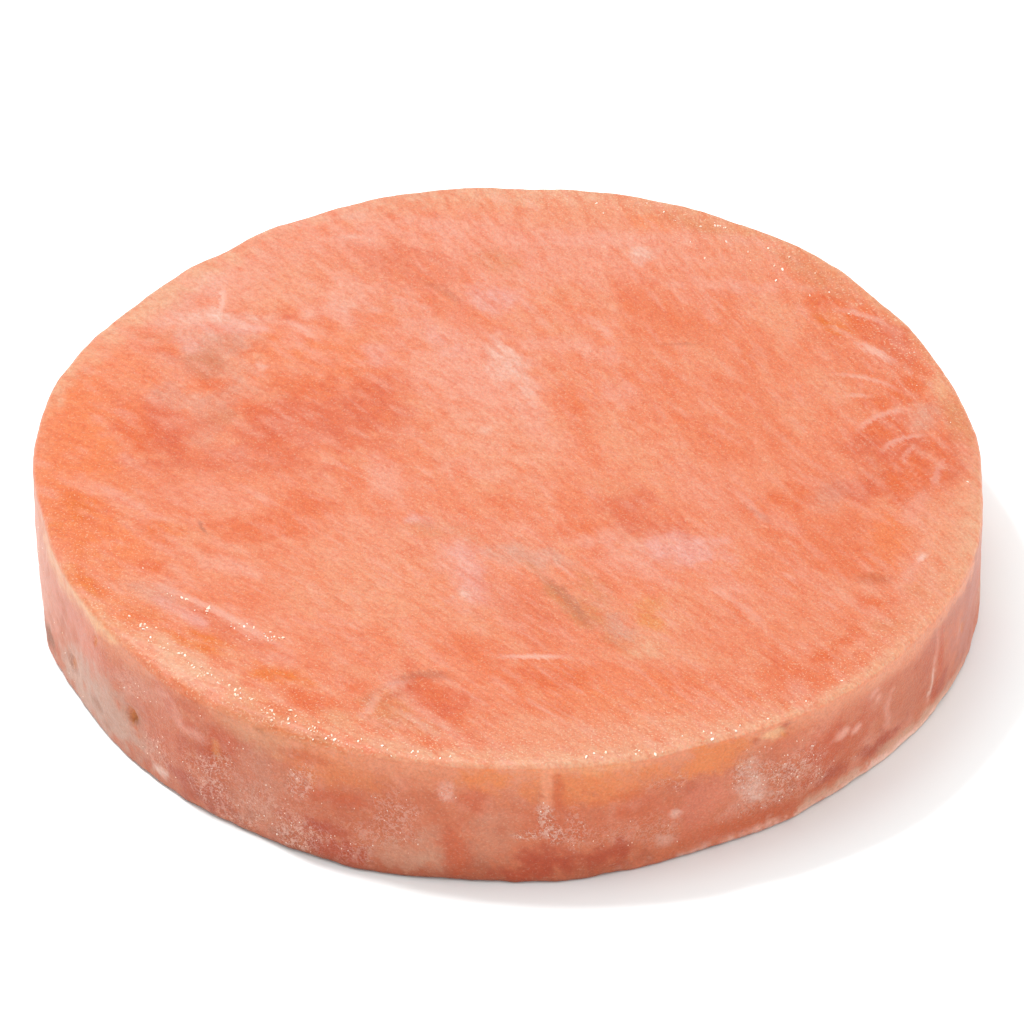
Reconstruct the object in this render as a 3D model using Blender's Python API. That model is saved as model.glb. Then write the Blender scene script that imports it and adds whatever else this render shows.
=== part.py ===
# Salmon burger patty: one pressed disc of raw frozen salmon, at its real size.
# Metres, +Z up. The origin is the middle of the flat base, so the patty rests on z = 0.
# Azimuths are in degrees, 0 at +X and counterclockwise seen from above. The front is -Y.

import math

import bmesh
import bpy
from mathutils import Matrix

MM = 0.001

# Driving sizes of the disc
RADIUS = 49.4 * MM  # of the top, so about 99 mm across
FOOT_RADIUS = 49.1 * MM  # of the base, which is a little smaller
THICKNESS = 15.2 * MM  # base to the sawn top
RIM_WIDTH = 0.8 * MM  # how far in the top edge starts to round over
RIM_DROP = 0.65 * MM  # how far down that rounding reaches
FOOT_WIDTH = 0.5 * MM  # the same for the edge that rests on the surface
FOOT_HEIGHT = 0.5 * MM
BELLY = 0.15 * MM  # how far the side bulges at half height

# How finely the surface is divided
SEGMENTS = 160  # steps round the outline
TOP_RINGS = 11  # rings across the top, without its centre
RIM_RINGS = 3  # steps over the top edge
SIDE_RINGS = 8  # steps down the side
FOOT_RINGS = 3  # steps round the bottom edge

# Unevenness round the outline, each as (azimuth, rise in mm, spread in degrees)
TOP_OUTLINE = (
    (100, 0.35, 70),  # the back reaches a little further than the front
    (18, -1.30, 18),  # flattened on the right
    (38, -0.40, 6),
    (51, 0.20, 7),
    (75, 0.55, 6),
    (98, 0.55, 7),
    (107, 0.40, 7),
    (121, 0.35, 4),
    (129.5, -0.45, 2.5),  # small step in the back left edge
    (141, -0.30, 12),
    (145.5, -0.35, 2.5),  # second step
    (168, 0.80, 18),
    (191, -0.30, 5),
    (286, 0.30, 6),
    (291, -0.40, 2.5),
    (312, 0.75, 15),
    (337, 0.20, 9),
    (355, -0.60, 7),
)
FOOT_OUTLINE = (
    (88, 0.30, 60),
    (14, -1.30, 19),
    (98, 0.40, 9),
    (140, -0.40, 14),
    (177, -0.20, 9),
    (194, 0.75, 6),  # sharp corner at the lower left
    (238, 0.50, 28),  # front left bulges out at the base
    (253, 0.55, 9),
    (274, 0.45, 7),
    (289, -0.25, 8),
    (304, 0.20, 4),
    (312, -0.85, 22),  # front right runs in at the base
    (354, 0.20, 6),
    (6, -0.30, 5),
)
RIM_WIDENING = (
    (227, 1.90, 8),  # soft worn corner at the front left
    (243, 1.05, 9),
    (60, 0.25, 22),
)
RIM_DEEPENING = (
    (227, 0.80, 9),
    (243, 0.40, 9),
)
# Ridges and hollows that run down the side
SIDE_COLUMNS = (
    (12, 0.25, 5),
    (31, -0.30, 4),
    (52, 0.28, 6),
    (77, -0.25, 4),
    (95, 0.25, 5),
    (117, -0.30, 4),
    (138, 0.25, 5),
    (160, -0.25, 5),
    (183, 0.28, 6),
    (201, -0.30, 5),
    (213, 0.30, 4),
    (221, -0.35, 3.5),
    (229, 0.30, 4),
    (236, -0.38, 3),
    (243, 0.30, 4),
    (252, -0.25, 4),
    (262, 0.25, 4),
    (272, -0.28, 3.5),
    (281, 0.28, 5),
    (298, -0.32, 3),
    (306, 0.25, 5),
    (320, -0.25, 4),
    (332, 0.30, 5),
    (347, -0.28, 5),
)

# Low swells and hollows of the top, each as (x, y, rise, spread), all in mm
TOP_SWELLS = (
    (2, 4, 0.20, 24),
    (-34, 5, -0.28, 8),
    (-20, 12, -0.20, 7),
    (-12, 34, -0.18, 6),
    (-8, -39, -0.22, 5),
    (-26, -34, 0.22, 6),
    (6, -23, -0.20, 5),
    (16, -16, 0.18, 6),
    (40, 2, -0.25, 6),
    (36, 24, -0.18, 6),
    (24, -30, 0.18, 8),
    (14, 38, 0.16, 8),
    (-38, -10, 0.20, 7),
)

# Pits in the side, each as (azimuth, height, half width, half length, depth, tilt in degrees)
PITS = (
    (219, 6.3, 0.60, 1.15, 1.0, 22),
    (212, 12.1, 0.55, 0.75, 0.35, 0),
    (204, 4.2, 0.80, 1.00, 0.35, -30),
    (234, 9.2, 0.90, 1.30, 0.35, 8),
    (303, 13.6, 0.40, 0.80, 0.6, -20),
    (338, 8.0, 0.70, 1.10, 0.30, 15),
    (160, 9.5, 0.70, 1.20, 0.7, -12),
    (118, 5.0, 0.80, 1.10, 0.5, 30),
    (74, 10.0, 0.60, 1.00, 0.6, 10),
    (35, 6.0, 0.70, 1.30, 0.4, -18),
)
PIT_SIDES = 10
PIT_RINGS = 6

FLESH_COLOUR = (0.83, 0.27, 0.13, 1.0)
FLESH_ROUGHNESS = 0.45


def clear_scene():
    for old in list(bpy.data.objects):
        bpy.data.objects.remove(old, do_unlink=True)


def rise_at(azimuth, bumps):
    # Sum of the bumps at an azimuth, in metres. Each one fades as a bell curve.
    total = 0.0
    for centre, rise, spread in bumps:
        away = (azimuth - centre + 180.0) % 360.0 - 180.0
        total += rise * math.exp(-((away / spread) ** 2))
    return total * MM


def swell_at(x, y):
    # Height of the top's swells at a point given in metres.
    total = 0.0
    for centre_x, centre_y, rise, spread in TOP_SWELLS:
        away = math.hypot(x / MM - centre_x, y / MM - centre_y)
        total += rise * math.exp(-((away / spread) ** 2))
    return total * MM


def profile(azimuth):
    # Points (radius, height) from just outside the top's centre down to the base, at one azimuth.
    top = RADIUS + rise_at(azimuth, TOP_OUTLINE)
    foot = FOOT_RADIUS + rise_at(azimuth, FOOT_OUTLINE)
    width = RIM_WIDTH + rise_at(azimuth, RIM_WIDENING)
    drop = RIM_DROP + rise_at(azimuth, RIM_DEEPENING)
    column = rise_at(azimuth, SIDE_COLUMNS)
    points = []
    for ring in range(1, TOP_RINGS + 1):
        # The rings crowd a little towards the edge, where the surface turns.
        share = (ring / TOP_RINGS) ** 0.9
        points.append((share * (top - width), THICKNESS))
    for ring in range(1, RIM_RINGS + 1):
        turn = math.radians(90.0 * ring / RIM_RINGS)
        points.append((top - width + width * math.sin(turn), THICKNESS - drop + drop * math.cos(turn)))
    for ring in range(1, SIDE_RINGS):
        share = ring / SIDE_RINGS
        swelling = math.sin(math.pi * share) * (BELLY + column)
        radius = top + (foot - top) * share + swelling
        points.append((radius, THICKNESS - drop - (THICKNESS - drop - FOOT_HEIGHT) * share))
    for ring in range(FOOT_RINGS + 1):
        turn = math.radians(90.0 * ring / FOOT_RINGS)
        points.append((foot - FOOT_WIDTH + FOOT_WIDTH * math.cos(turn), FOOT_HEIGHT * (1.0 - math.sin(turn))))
    return points


def patty_mesh():
    form = bmesh.new()
    rings = []
    for step in range(SEGMENTS):
        azimuth = 360.0 * step / SEGMENTS
        along_x = math.cos(math.radians(azimuth))
        along_y = math.sin(math.radians(azimuth))
        for index, (radius, height) in enumerate(profile(azimuth)):
            if step == 0:
                rings.append([])
            x = radius * along_x
            y = radius * along_y
            # The swells lift the top fully and fade out down the side, so the base stays flat.
            lift = swell_at(x, y) * max(0.0, (height - FOOT_HEIGHT) / (THICKNESS - FOOT_HEIGHT)) ** 2
            rings[index].append(form.verts.new((x, y, height + lift)))
    crown = form.verts.new((0.0, 0.0, THICKNESS + swell_at(0.0, 0.0)))
    base = form.verts.new((0.0, 0.0, 0.0))
    for step in range(SEGMENTS):
        following = (step + 1) % SEGMENTS
        form.faces.new((crown, rings[0][step], rings[0][following]))
        for upper, lower in zip(rings, rings[1:]):
            form.faces.new((upper[step], lower[step], lower[following], upper[following]))
        form.faces.new((base, rings[-1][following], rings[-1][step]))
    bmesh.ops.triangulate(form, faces=list(form.faces))
    centre_over_origin(form)
    mesh = bpy.data.meshes.new("patty")
    form.to_mesh(mesh)
    form.free()
    return mesh


def centre_over_origin(form):
    # The outline is uneven, so its bounding box is moved to be centred on the origin.
    for axis in (0, 1):
        places = [vertex.co[axis] for vertex in form.verts]
        middle = (min(places) + max(places)) / 2.0
        for vertex in form.verts:
            vertex.co[axis] -= middle


def flesh_material():
    flesh = bpy.data.materials.new("salmonFlesh")
    flesh.use_nodes = True
    shader = flesh.node_tree.nodes["Principled BSDF"]
    shader.inputs["Base Color"].default_value = FLESH_COLOUR
    shader.inputs["Roughness"].default_value = FLESH_ROUGHNESS
    shader.inputs["Metallic"].default_value = 0.0
    return flesh


def side_radius(patty, azimuth, height):
    # Where a ray from outside meets the side of the patty, as a distance from its middle.
    direction = (math.cos(math.radians(azimuth)), math.sin(math.radians(azimuth)), 0.0)
    start = (direction[0] * 2.0 * RADIUS, direction[1] * 2.0 * RADIUS, height)
    inward = (-direction[0], -direction[1], 0.0)
    hit, place, _, _ = patty.ray_cast(start, inward)
    if not hit:
        raise ValueError(f"no side at azimuth {azimuth}, height {height}")
    return math.hypot(place[0], place[1])


def cut_pit(patty, number, azimuth, height, half_width, half_length, depth, tilt):
    # An ellipsoid sunk into the side: x is depth, y runs along the edge and z is up, before its tilt.
    radius = side_radius(patty, azimuth, height * MM)
    mesh = bpy.data.meshes.new(f"pit{number}")
    form = bmesh.new()
    bmesh.ops.create_uvsphere(form, u_segments=PIT_SIDES, v_segments=PIT_RINGS, radius=1.0)
    placing = (
        Matrix.Rotation(math.radians(azimuth), 4, "Z")
        @ Matrix.Translation((radius, 0.0, height * MM))
        @ Matrix.Rotation(math.radians(tilt), 4, "X")
        @ Matrix.Diagonal((depth * MM, half_width * MM, half_length * MM, 1.0))
    )
    form.transform(placing)
    form.to_mesh(mesh)
    form.free()
    cutter = bpy.data.objects.new(f"pit{number}", mesh)
    bpy.context.scene.collection.objects.link(cutter)
    cutter.hide_render = True
    cutter.display_type = "WIRE"
    cut = patty.modifiers.new(f"pit{number}", "BOOLEAN")
    cut.operation = "DIFFERENCE"
    cut.solver = "EXACT"
    cut.object = cutter


def make_patty():
    patty = bpy.data.objects.new("patty", patty_mesh())
    bpy.context.scene.collection.objects.link(patty)
    patty.data.materials.append(flesh_material())
    patty.data.shade_smooth()
    patty.data.set_sharp_from_angle(angle=math.radians(50.0))
    bpy.context.view_layer.update()
    for number, pit in enumerate(PITS, start=1):
        cut_pit(patty, number, *pit)
    return patty


clear_scene()
make_patty()
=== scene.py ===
import math
import random
from functools import partial

import bpy
import numpy as np
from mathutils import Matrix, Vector, noise
from mathutils.bvhtree import BVHTree


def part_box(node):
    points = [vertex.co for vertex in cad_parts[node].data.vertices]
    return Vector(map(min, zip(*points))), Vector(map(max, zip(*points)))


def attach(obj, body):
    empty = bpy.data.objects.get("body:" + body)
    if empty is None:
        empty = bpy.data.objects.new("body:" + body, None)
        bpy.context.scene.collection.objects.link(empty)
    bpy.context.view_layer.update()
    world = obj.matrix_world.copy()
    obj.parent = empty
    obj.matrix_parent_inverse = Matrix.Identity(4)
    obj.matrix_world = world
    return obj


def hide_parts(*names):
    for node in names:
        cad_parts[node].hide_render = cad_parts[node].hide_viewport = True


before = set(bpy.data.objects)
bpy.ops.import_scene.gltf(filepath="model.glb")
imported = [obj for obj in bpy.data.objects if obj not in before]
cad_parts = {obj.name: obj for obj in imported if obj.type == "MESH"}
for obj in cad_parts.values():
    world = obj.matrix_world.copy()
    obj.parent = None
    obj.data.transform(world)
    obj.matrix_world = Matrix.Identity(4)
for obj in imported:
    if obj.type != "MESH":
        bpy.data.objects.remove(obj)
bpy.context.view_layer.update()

# A raw frozen salmon patty: one pressed disc with a sawn top, a soft worn edge and a frosted side.
# Places on the top are x, y in mm. Places on the side are an azimuth in degrees (0 at +X,
# counterclockwise from above, so the front is 270) and a height in mm.

mm = 0.001
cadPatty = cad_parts["patty"]
pattyLow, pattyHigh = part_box("patty")
print("frame loaded, patty box", [round(v / mm, 1) for v in pattyHigh - pattyLow])


# small helpers

def smoothStep(values, start, end):
    share = np.clip((values - start) / (end - start), 0.0, 1.0)
    return share * share * (3.0 - 2.0 * share)


def screenColour(red, green, blue):
    # 8-bit screen colour to the linear values that a shader takes
    linear = []
    for level in (red, green, blue):
        share = level / 255.0
        linear.append(share / 12.92 if share <= 0.04045 else ((share + 0.055) / 1.055) ** 2.4)
    return linear


def turnedFrom(azimuth, centre):
    # degrees from one azimuth to another, the short way round
    return (azimuth - centre + 180.0) % 360.0 - 180.0


def noiseAt(places, size, offset, octaves=1, stretch=(1.0, 1.0, 1.0)):
    # fractal noise about 0 at each place in mm, with lumps of about the size given
    shift = Vector((offset, 0.37 * offset, 1.7 * offset))
    scaled = places * (np.array(stretch) / size)
    return np.array([noise.fractal(Vector(place) + shift, 0.9, 2.1, octaves) for place in scaled])


def feed(tree, node, sources):
    # inputs by name or number, each with a link or a plain value
    for name, source in dict(sources).items():
        if isinstance(source, bpy.types.NodeSocket):
            tree.links.new(source, node.inputs[name])
        else:
            node.inputs[name].default_value = source


def addNode(tree, kind, sources=(), **settings):
    made = tree.nodes.new(kind)
    for name, value in settings.items():
        setattr(made, name, value)
    feed(tree, made, sources)
    return made


def calculate(tree, operation, *sources, clamp=False):
    made = addNode(tree, "ShaderNodeMath", enumerate(sources), operation=operation, use_clamp=clamp)
    return made.outputs[0]


def vectorMath(tree, operation, *sources, output=0):
    made = addNode(tree, "ShaderNodeVectorMath", enumerate(sources), operation=operation)
    return made.outputs[output]


def mixColour(tree, factor, first, second):
    return addNode(tree, "ShaderNodeMix", {0: factor, 6: first, 7: second}, data_type="RGBA").outputs[2]


def remap(tree, value, fromLow, fromHigh, toLow=0.0, toHigh=1.0):
    sources = enumerate((value, fromLow, fromHigh, toLow, toHigh))
    return addNode(tree, "ShaderNodeMapRange", sources, interpolation_type="SMOOTHSTEP").outputs[0]


def noiseTexture(tree, vector, scale, detail=2.0, rough=0.5):
    sources = {"Vector": vector, "Scale": scale, "Detail": detail, "Roughness": rough}
    return addNode(tree, "ShaderNodeTexNoise", sources).outputs["Fac"]


def attribute(tree, name, output="Fac"):
    return addNode(tree, "ShaderNodeAttribute", attribute_name=name).outputs[output]


def newMaterial(name):
    material = bpy.data.materials.new(name)
    material.use_nodes = True
    return material, material.node_tree, material.node_tree.nodes["Principled BSDF"]


def addObject(name, data):
    made = bpy.data.objects.new(name, data)
    bpy.context.scene.collection.objects.link(made)
    return made


def lookBack(thing, direction):
    # turns a camera or lamp against the way in which it stands
    thing.rotation_mode = "QUATERNION"
    thing.rotation_quaternion = (-direction).to_track_quat("-Z", "Y")


# camera, at the photo's angle

cameraSet = {
    "lens": 242.17,  # mm
    "sensor": 36.0,  # mm across
    "clip": (0.05, 20.0),  # m
    "elevation": 37.65,
    "distance": 720.2 * mm,
    "centre": (0.50 * mm, -0.10 * mm, 7.6 * mm),  # what the view turns about
    "aimUp": 0.588 * mm,  # the patty sits a little below the picture's middle
    "aimRight": -0.046 * mm,
}


def makeCamera():
    tilt = math.radians(cameraSet["elevation"])
    back = Vector((0.0, -math.cos(tilt), math.sin(tilt)))
    upward = Vector((0.0, math.sin(tilt), math.cos(tilt)))
    aim = Vector(cameraSet["centre"]) + upward * cameraSet["aimUp"]
    aim.x += cameraSet["aimRight"]
    data = bpy.data.cameras.new("camera")
    data.lens = cameraSet["lens"]
    data.sensor_width = cameraSet["sensor"]
    data.clip_start, data.clip_end = cameraSet["clip"]
    camera = addObject("camera", data)
    camera.location = aim + back * cameraSet["distance"]
    lookBack(camera, back)
    bpy.context.scene.camera = camera


makeCamera()
print("camera placed")


# floor and light

studio = {
    "floor": 3.0,  # m across
    "floorDrop": 0.02 * mm,  # how far it lies under the patty
    "floorTone": (0.905, 0.966, 0.975),  # a little cool, to offset what the flesh throws on it
    "world": 0.835,
    # azimuth, elevation, distance, size and strength: the light each adds on a level surface
    "key": (152.0, 64.0, 0.9, 0.13, 0.615),
    "overhead": (100.0, 82.0, 1.2, 1.30, 0.45),
    "fromFloor": 1.82,  # what the floor round the patty throws back
    # how much of that the side away from the key loses, how much more at the base, and mm up to there
    "shadow": (0.14, 0.50, 2.0),
}


def makeFloor():
    half, low = studio["floor"] / 2.0, -studio["floorDrop"]
    corners = [(x * half, y * half, low) for x, y in ((-1, -1), (1, -1), (1, 1), (-1, 1))]
    mesh = bpy.data.meshes.new("floor")
    mesh.from_pydata(corners, [], [(0, 1, 2, 3)])
    material, tree, shader = newMaterial("paleFloor")
    tone = (*studio["floorTone"], 1.0)
    feed(tree, shader, {"Base Color": tone, "Roughness": 0.9, "Specular IOR Level": 0.0})
    mesh.materials.append(material)
    addObject("floor", mesh)


def directionOf(azimuth, elevation):
    turn, lift = math.radians(azimuth), math.radians(elevation)
    return Vector((math.cos(turn) * math.cos(lift), math.sin(turn) * math.cos(lift), math.sin(lift)))


def makeLight(name):
    azimuth, elevation, distance, size, strength = studio[name]
    direction = directionOf(azimuth, elevation)
    data = bpy.data.lights.new(name, "AREA")
    data.shape = "DISK"
    data.size = size
    data.energy = strength * math.pi ** 2 * distance ** 2 / direction.z
    lamp = addObject(name, data)
    lamp.location = direction * distance
    lookBack(lamp, direction)


def makeWorld():
    world = bpy.data.worlds.new("studio")
    world.use_nodes = True
    background = world.node_tree.nodes["Background"]
    background.inputs["Color"].default_value = (1.0, 1.0, 1.0, 1.0)
    background.inputs["Strength"].default_value = studio["world"]
    bpy.context.scene.world = world


makeFloor()
makeLight("key")
makeLight("overhead")
makeWorld()
bpy.context.scene.view_settings.view_transform = "Standard"
print("studio set")


# the flesh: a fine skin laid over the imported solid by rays

skin = {
    "columns": 800,  # round the edge, halved three times towards the middle
    # bands of the top: where each starts and ends, of the way out, its rows and what divides its columns
    "topBands": ((0.02, 0.15, 10, 8), (0.15, 0.30, 16, 4), (0.30, 0.60, 34, 2), (0.60, 1.00, 46, 1)),
    "baseRings": ((0.93, 2), (0.8, 4), (0.6, 8), (0.3, 8)),
    "rimRows": 14,
    "rimDepth": 1.6 * mm,  # the rim's rays fan out from a line this far in and down
    "rimLower": 0.25 * mm,  # and a little more down
    "sideRows": 30,
    "footRows": 6,
    "footDepth": 1.2 * mm,
    "outlineAt": (2.2 * mm, 1.6 * mm),  # where the outlines are taken: below the top, above the base
    "outlineSmoothing": 30,  # rounds
    "smoothing": 8,  # rounds that take out the solid's facets
    "driftSmoothing": 60,  # rounds that find what the smoothing shrinks
    "pitKeep": (0.05 * mm, 0.20 * mm),  # deeper than this is a pit and stays sharp
    "headroom": 0.15 * mm,  # left over the top for ice crystals
    "pressed": 0.3,  # how much a swell keeps of what it rises past that
    "rayStart": (0.08, 0.05, 0.01),  # m: from the axis, above the base and from a fan's line
}

relief = {
    # (size of the lumps in mm, height in mm), from coarse to fine
    "top": ((9.0, 0.060), (3.2, 0.030), (1.3, 0.016)),
    "rim": ((6.0, 0.140), (2.4, 0.080), (1.1, 0.040)),
    "side": ((7.0, 0.180), (3.0, 0.110), (1.3, 0.060)),
    "foot": ((5.0, 0.200), (2.0, 0.120), (1.0, 0.050)),
}


def ringOf(columns):
    turns = np.arange(columns) * (2.0 * math.pi / columns)
    return np.cos(turns), np.sin(turns)


def castInward(tree, outside, inward):
    return np.array(tree.ray_cast(Vector(outside), Vector(inward))[0])


def radiusAt(tree, height, columns):
    # distance from the axis to the side at one height, all round
    found = np.zeros(columns)
    outside = skin["rayStart"][0]
    for step, (dx, dy) in enumerate(zip(*ringOf(columns))):
        place = castInward(tree, (dx * outside, dy * outside, height), (-dx, -dy, 0.0))
        found[step] = math.hypot(place[0], place[1])
    return found


def roundSmooth(values, rounds):
    # smoothing along the columns, which close on themselves
    for _ in range(rounds):
        values = (np.roll(values, 1, 0) + 2.0 * values + np.roll(values, -1, 0)) / 4.0
    return values


def layTop(tree, inner, share, columns):
    dx, dy = ringOf(columns)
    step = len(inner) // columns
    radius = inner[::step] * share
    above = skin["rayStart"][1]
    row = [castInward(tree, (x, y, above), (0.0, 0.0, -1.0)) for x, y in zip(dx * radius, dy * radius)]
    return np.array(row), np.tile((0.0, 0.0, 1.0), (columns, 1))


def layFan(tree, pivotRadius, pivotHeight, turn, columns):
    # rays that fan from a line inside the edge: turn 90 is straight up, 0 outwards, -90 down
    dx, dy = ringOf(columns)
    outward = math.cos(math.radians(turn))
    upward = math.sin(math.radians(turn))
    row, away = [], []
    for x, y, radius in zip(dx, dy, pivotRadius):
        direction = np.array((x * outward, y * outward, upward))
        pivot = np.array((x * radius, y * radius, pivotHeight))
        row.append(castInward(tree, pivot + direction * skin["rayStart"][2], -direction))
        away.append(direction)
    return np.array(row), np.array(away)


def laySkin():
    solid = cadPatty.data
    tree = BVHTree.FromPolygons(
        [tuple(vertex.co) for vertex in solid.vertices],
        [tuple(face.vertices) for face in solid.polygons],
    )
    columns = skin["columns"]
    top = pattyHigh.z
    belowTop, aboveBase = skin["outlineAt"]
    upperRadius = roundSmooth(radiusAt(tree, top - belowTop, columns), skin["outlineSmoothing"])
    lowerRadius = roundSmooth(radiusAt(tree, aboveBase, columns), skin["outlineSmoothing"])
    inner = upperRadius - skin["rimDepth"]
    rows = [(*layTop(tree, inner, 0.0, 1), "top")]  # each (places, outward directions, zone)
    for start, end, count, divide in skin["topBands"]:
        for number in range(count):
            share = start + (end - start) * number / count
            rows.append((*layTop(tree, inner, share, columns // divide), "top"))
    rimHeight = top - skin["rimDepth"] - skin["rimLower"]
    for number in range(skin["rimRows"] + 1):
        turn = 90.0 - 90.0 * number / skin["rimRows"]
        rows.append((*layFan(tree, inner, rimHeight, turn, columns), "rim"))
    footHeight = skin["footDepth"]
    footInner = lowerRadius - skin["footDepth"]
    for number in range(1, skin["sideRows"]):
        share = number / skin["sideRows"]
        height = rimHeight + (footHeight - rimHeight) * share
        rows.append((*layFan(tree, inner + (footInner - inner) * share, height, 0.0, columns), "side"))
    for number in range(skin["footRows"] + 1):
        turn = -90.0 * number / skin["footRows"]
        rows.append((*layFan(tree, footInner, footHeight, turn, columns), "foot"))
    for share, divide in skin["baseRings"]:
        dx, dy = ringOf(columns // divide)
        radius = footInner[::divide] * share
        places = np.stack((dx * radius, dy * radius, np.zeros(len(dx))), 1)
        rows.append((places, np.tile((0.0, 0.0, -1.0), (len(dx), 1)), "base"))
    rows.append((np.zeros((1, 3)), np.array(((0.0, 0.0, -1.0),)), "base"))
    return rows, upperRadius


def takeOutFacets(rows):
    # smooths the laid rows, but keeps the pits
    low, high = skin["pitKeep"]
    finished = []
    for places, away, zone in rows:
        if zone == "base" or len(places) == 1:
            finished.append((places, away, zone, np.zeros(len(places))))
            continue
        rounds = skin["smoothing"] * len(places) // skin["columns"]
        even = roundSmooth(places, max(1, rounds))
        # smoothing a ring shrinks it a little, so only the part along each ray is used
        shift = ((places - even) * away).sum(1)
        shift -= roundSmooth(shift, skin["driftSmoothing"])
        pit = smoothStep(-shift, low, high) if zone in ("side", "foot") else np.zeros(len(places))
        kept = places - away * (shift * (1.0 - pit))[:, None]
        finished.append((kept, away, zone, pit))
    return finished


def addRelief(rows):
    finished = []
    for places, away, zone, pit in rows:
        if zone in relief:
            rise = sum(height * noiseAt(places / mm, size, 3.1 + size) for size, height in relief[zone])
            places = places + away * (rise * mm)[:, None]
        finished.append([places, away, zone, pit])
    # the zones' relief meets softly
    for _ in range(3):
        for number in range(1, len(finished) - 1):
            before, here, after = finished[number - 1], finished[number], finished[number + 1]
            sameSize = len(before[0]) == len(here[0]) == len(after[0])
            if sameSize and here[2] != "base" and not before[2] == here[2] == after[2]:
                here[0] = (before[0] + 2.0 * here[0] + after[0]) / 4.0
    ceiling = pattyHigh.z - skin["headroom"]
    for places, away, zone, pit in finished:
        # swells near the top of the solid's box are pressed down, so that nothing stands out of it
        places[:, 2] = np.minimum(places[:, 2], ceiling + skin["pressed"] * (places[:, 2] - ceiling))
        if zone == "foot":
            places[:, 2] = np.maximum(places[:, 2], 0.0)
            if away[0][2] < -0.999:
                places[:, 2] = 0.0
    return finished


def stitch(rows):
    # faces between neighbouring rows, which have as many columns, twice as many or half as many
    starts = np.cumsum([0] + [len(row[0]) for row in rows])
    faces = []
    for number in range(len(rows) - 1):
        inner, outer = int(starts[number]), int(starts[number + 1])
        countIn, countOut = len(rows[number][0]), len(rows[number + 1][0])
        if countIn == 1:
            faces += [(inner, outer + i, outer + (i + 1) % countOut) for i in range(countOut)]
        elif countOut == 1:
            faces += [(inner + (i + 1) % countIn, inner + i, outer) for i in range(countIn)]
        elif countIn == countOut:
            for i in range(countIn):
                j = (i + 1) % countIn
                faces.append((inner + i, outer + i, outer + j, inner + j))
        else:
            # a quad and a triangle between each step of the coarser row and two of the finer
            coarse, fine, few = (inner, outer, countIn) if countIn < countOut else (outer, inner, countOut)
            for i in range(few):
                j = (i + 1) % few
                middle, far = fine + 2 * i + 1, fine + (2 * i + 2) % (2 * few)
                pair = [(coarse + i, fine + 2 * i, middle, coarse + j), (coarse + j, middle, far)]
                if coarse == outer:
                    pair = [(face[0], *face[:0:-1]) for face in pair]
                faces += pair
    return faces


# the paint: screen colours of the flesh under this light, and where each lies

topTints = {
    "orange": (249, 146, 103),
    "coral": (246, 154, 122),
    "pink": (249, 174, 151),
    "peach": (247, 169, 136),
    "lilac": (246, 177, 162),
    "deep": (240, 129, 92),
    "amber": (243, 138, 86),
    "dusk": (222, 142, 112),
    "red": (233, 128, 100),
    "tan": (230, 150, 112),
    "wedge": (214, 120, 88),
    "grey": (234, 172, 150),
    "yellow": (243, 160, 112),
    "cream": (242, 176, 138),
    "rim": (246, 187, 154),
    "white": (250, 205, 188),
}
sideTints = {
    "flesh": (208, 122, 92),
    "coral": (222, 134, 110),
    "orange": (228, 135, 88),
    "deep": (202, 100, 70),
    "red": (182, 86, 66),
    "brown": (160, 92, 60),
    # lighter tint for the pits, painted light against the shade in the hollows
    "hollow": (232, 148, 96),
    "pink": (230, 158, 137),
    "white": (236, 194, 178),
    "beige": (210, 157, 132),
    "grey": (203, 158, 139),
    "mauve": (190, 116, 99),
    "shade": (184, 106, 80),
    "tan": (220, 152, 114),
    "cream": (240, 180, 138),
    "peach": (236, 156, 122),
    # a darker tint for painted shade along the base, where the side meets the floor
    "foot": (165, 95, 76),
}
paint = {
    "share": 0.86,  # of the falling light that the flesh's colour gives back
    "topSheen": 0.085,  # what the surface reflects without taking on its colour
    "sideSheen": 0.040,
    "topEdge": (0.25, 1.45),  # where a patch starts to fade and where it ends, in its own size
    "sideEdge": (0.40, 1.35),
    "ragged": 0.45,  # how uneven that edge is
    "offCentre": (0.5, -0.1),  # mm from the patty's middle to the middle of the places below
    "push": 0.8,  # mm by which noise shifts the places
    "mottle": (0.65, 0.35),  # how far mottling turns the top to peach and to deep
    "streak": (0.45, 0.35),  # how far fine streaks turn it to pink and to deep
    "topStarts": (11.0, 12.5),  # mm up, where the side's paint gives way to the top's
    "pit": 0.85,
    # the flecks' strength all over, what the front edge and the back edge add, and mm in to there
    "fleck": (0.24, 0.45, 0.35, 6.0),
    "frontArc": (265.0, 50.0, 95.0),  # its azimuth, and how far round from there it is full and ends
    "backArc": (50.0, 25.0, 50.0),
    "clusters": (1.6, -0.15, 0.30),  # of ice: mm across, and the noise where one starts and is full
}

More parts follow.
